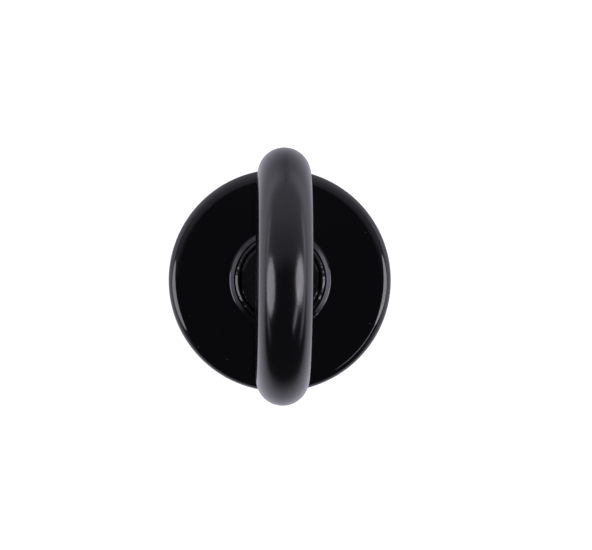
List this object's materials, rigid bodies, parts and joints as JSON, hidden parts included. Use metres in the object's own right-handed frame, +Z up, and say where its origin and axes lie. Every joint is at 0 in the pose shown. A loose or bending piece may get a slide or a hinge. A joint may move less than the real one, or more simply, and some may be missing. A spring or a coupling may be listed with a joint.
{
  "type": "security tag detacher",
  "caption": "Hand-held magnetic security tag detacher: round gloss-black body with a tag nest in its base and a satin-black finger ring that swivels on top.",
  "frame": {"origin": "centre of the foot ring's underside, on the surface that the detacher stands on", "axes": "+Z up the body's axis from the tag nest to the finger ring; the ring lies in the YZ plane and the finger goes through it along X"},
  "size_m": [0.04, 0.0444, 0.0854],
  "materials": {
    "gloss_black_body": "mirror-gloss black lacquer on turned aluminium",
    "satin_black_handle": "satin black coating on a casting",
    "black_moulding": "fine-textured black ABS",
    "pale_moulding": "natural acetal",
    "foot_rubber": "matt moulded rubber",
    "seal_rubber": "greased black nitrile rubber",
    "grey_foam": "closed-cell foam",
    "stainless_screws": "turned stainless steel",
    "bronze": "sintered bronze",
    "soft_iron": "turned soft iron, lightly oiled",
    "brass_ring": "turned brass",
    "nickel_plate": "bright nickel plate",
    "spring_steel": "blued spring steel",
    "zinc_steel": "zinc-plated steel",
    "blue_nylon": "blue nylon"
  },
  "bodies": {
    "body": {"housing": "gloss_black_body", "base_cap": "black_moulding", "foot_ring": "foot_rubber", "cap_gasket": "seal_rubber", "cap_screws": "stainless_screws", "swivel_bush": "bronze", "thrust_washer": "pale_moulding", "yoke_sleeve": "soft_iron", "ring_magnet_1": "nickel_plate", "ring_magnet_2": "nickel_plate", "ring_magnet_3": "nickel_plate", "ring_magnet_4": "nickel_plate", "ring_magnet_5": "nickel_plate", "ring_magnet_6": "nickel_plate", "magnet_spacer": "brass_ring", "pole_piece": "soft_iron", "core_magnet": "nickel_plate", "core_sleeve": "pale_moulding", "back_plate": "soft_iron", "cushion_ring": "grey_foam"},
    "handle": {"ring_handle": "satin_black_handle", "collar_seal": "seal_rubber", "disc_spring": "spring_steel", "retaining_washer": "zinc_steel", "lock_nut": "zinc_steel", "nut_insert": "blue_nylon"}
  },
  "joints": [
    {"name": "handle_swivel", "type": "hinge", "parent": "body", "child": "handle", "pos_m": [0, 0, 0.032], "axis": [0, 0, 1], "continuous": true}
  ]
}
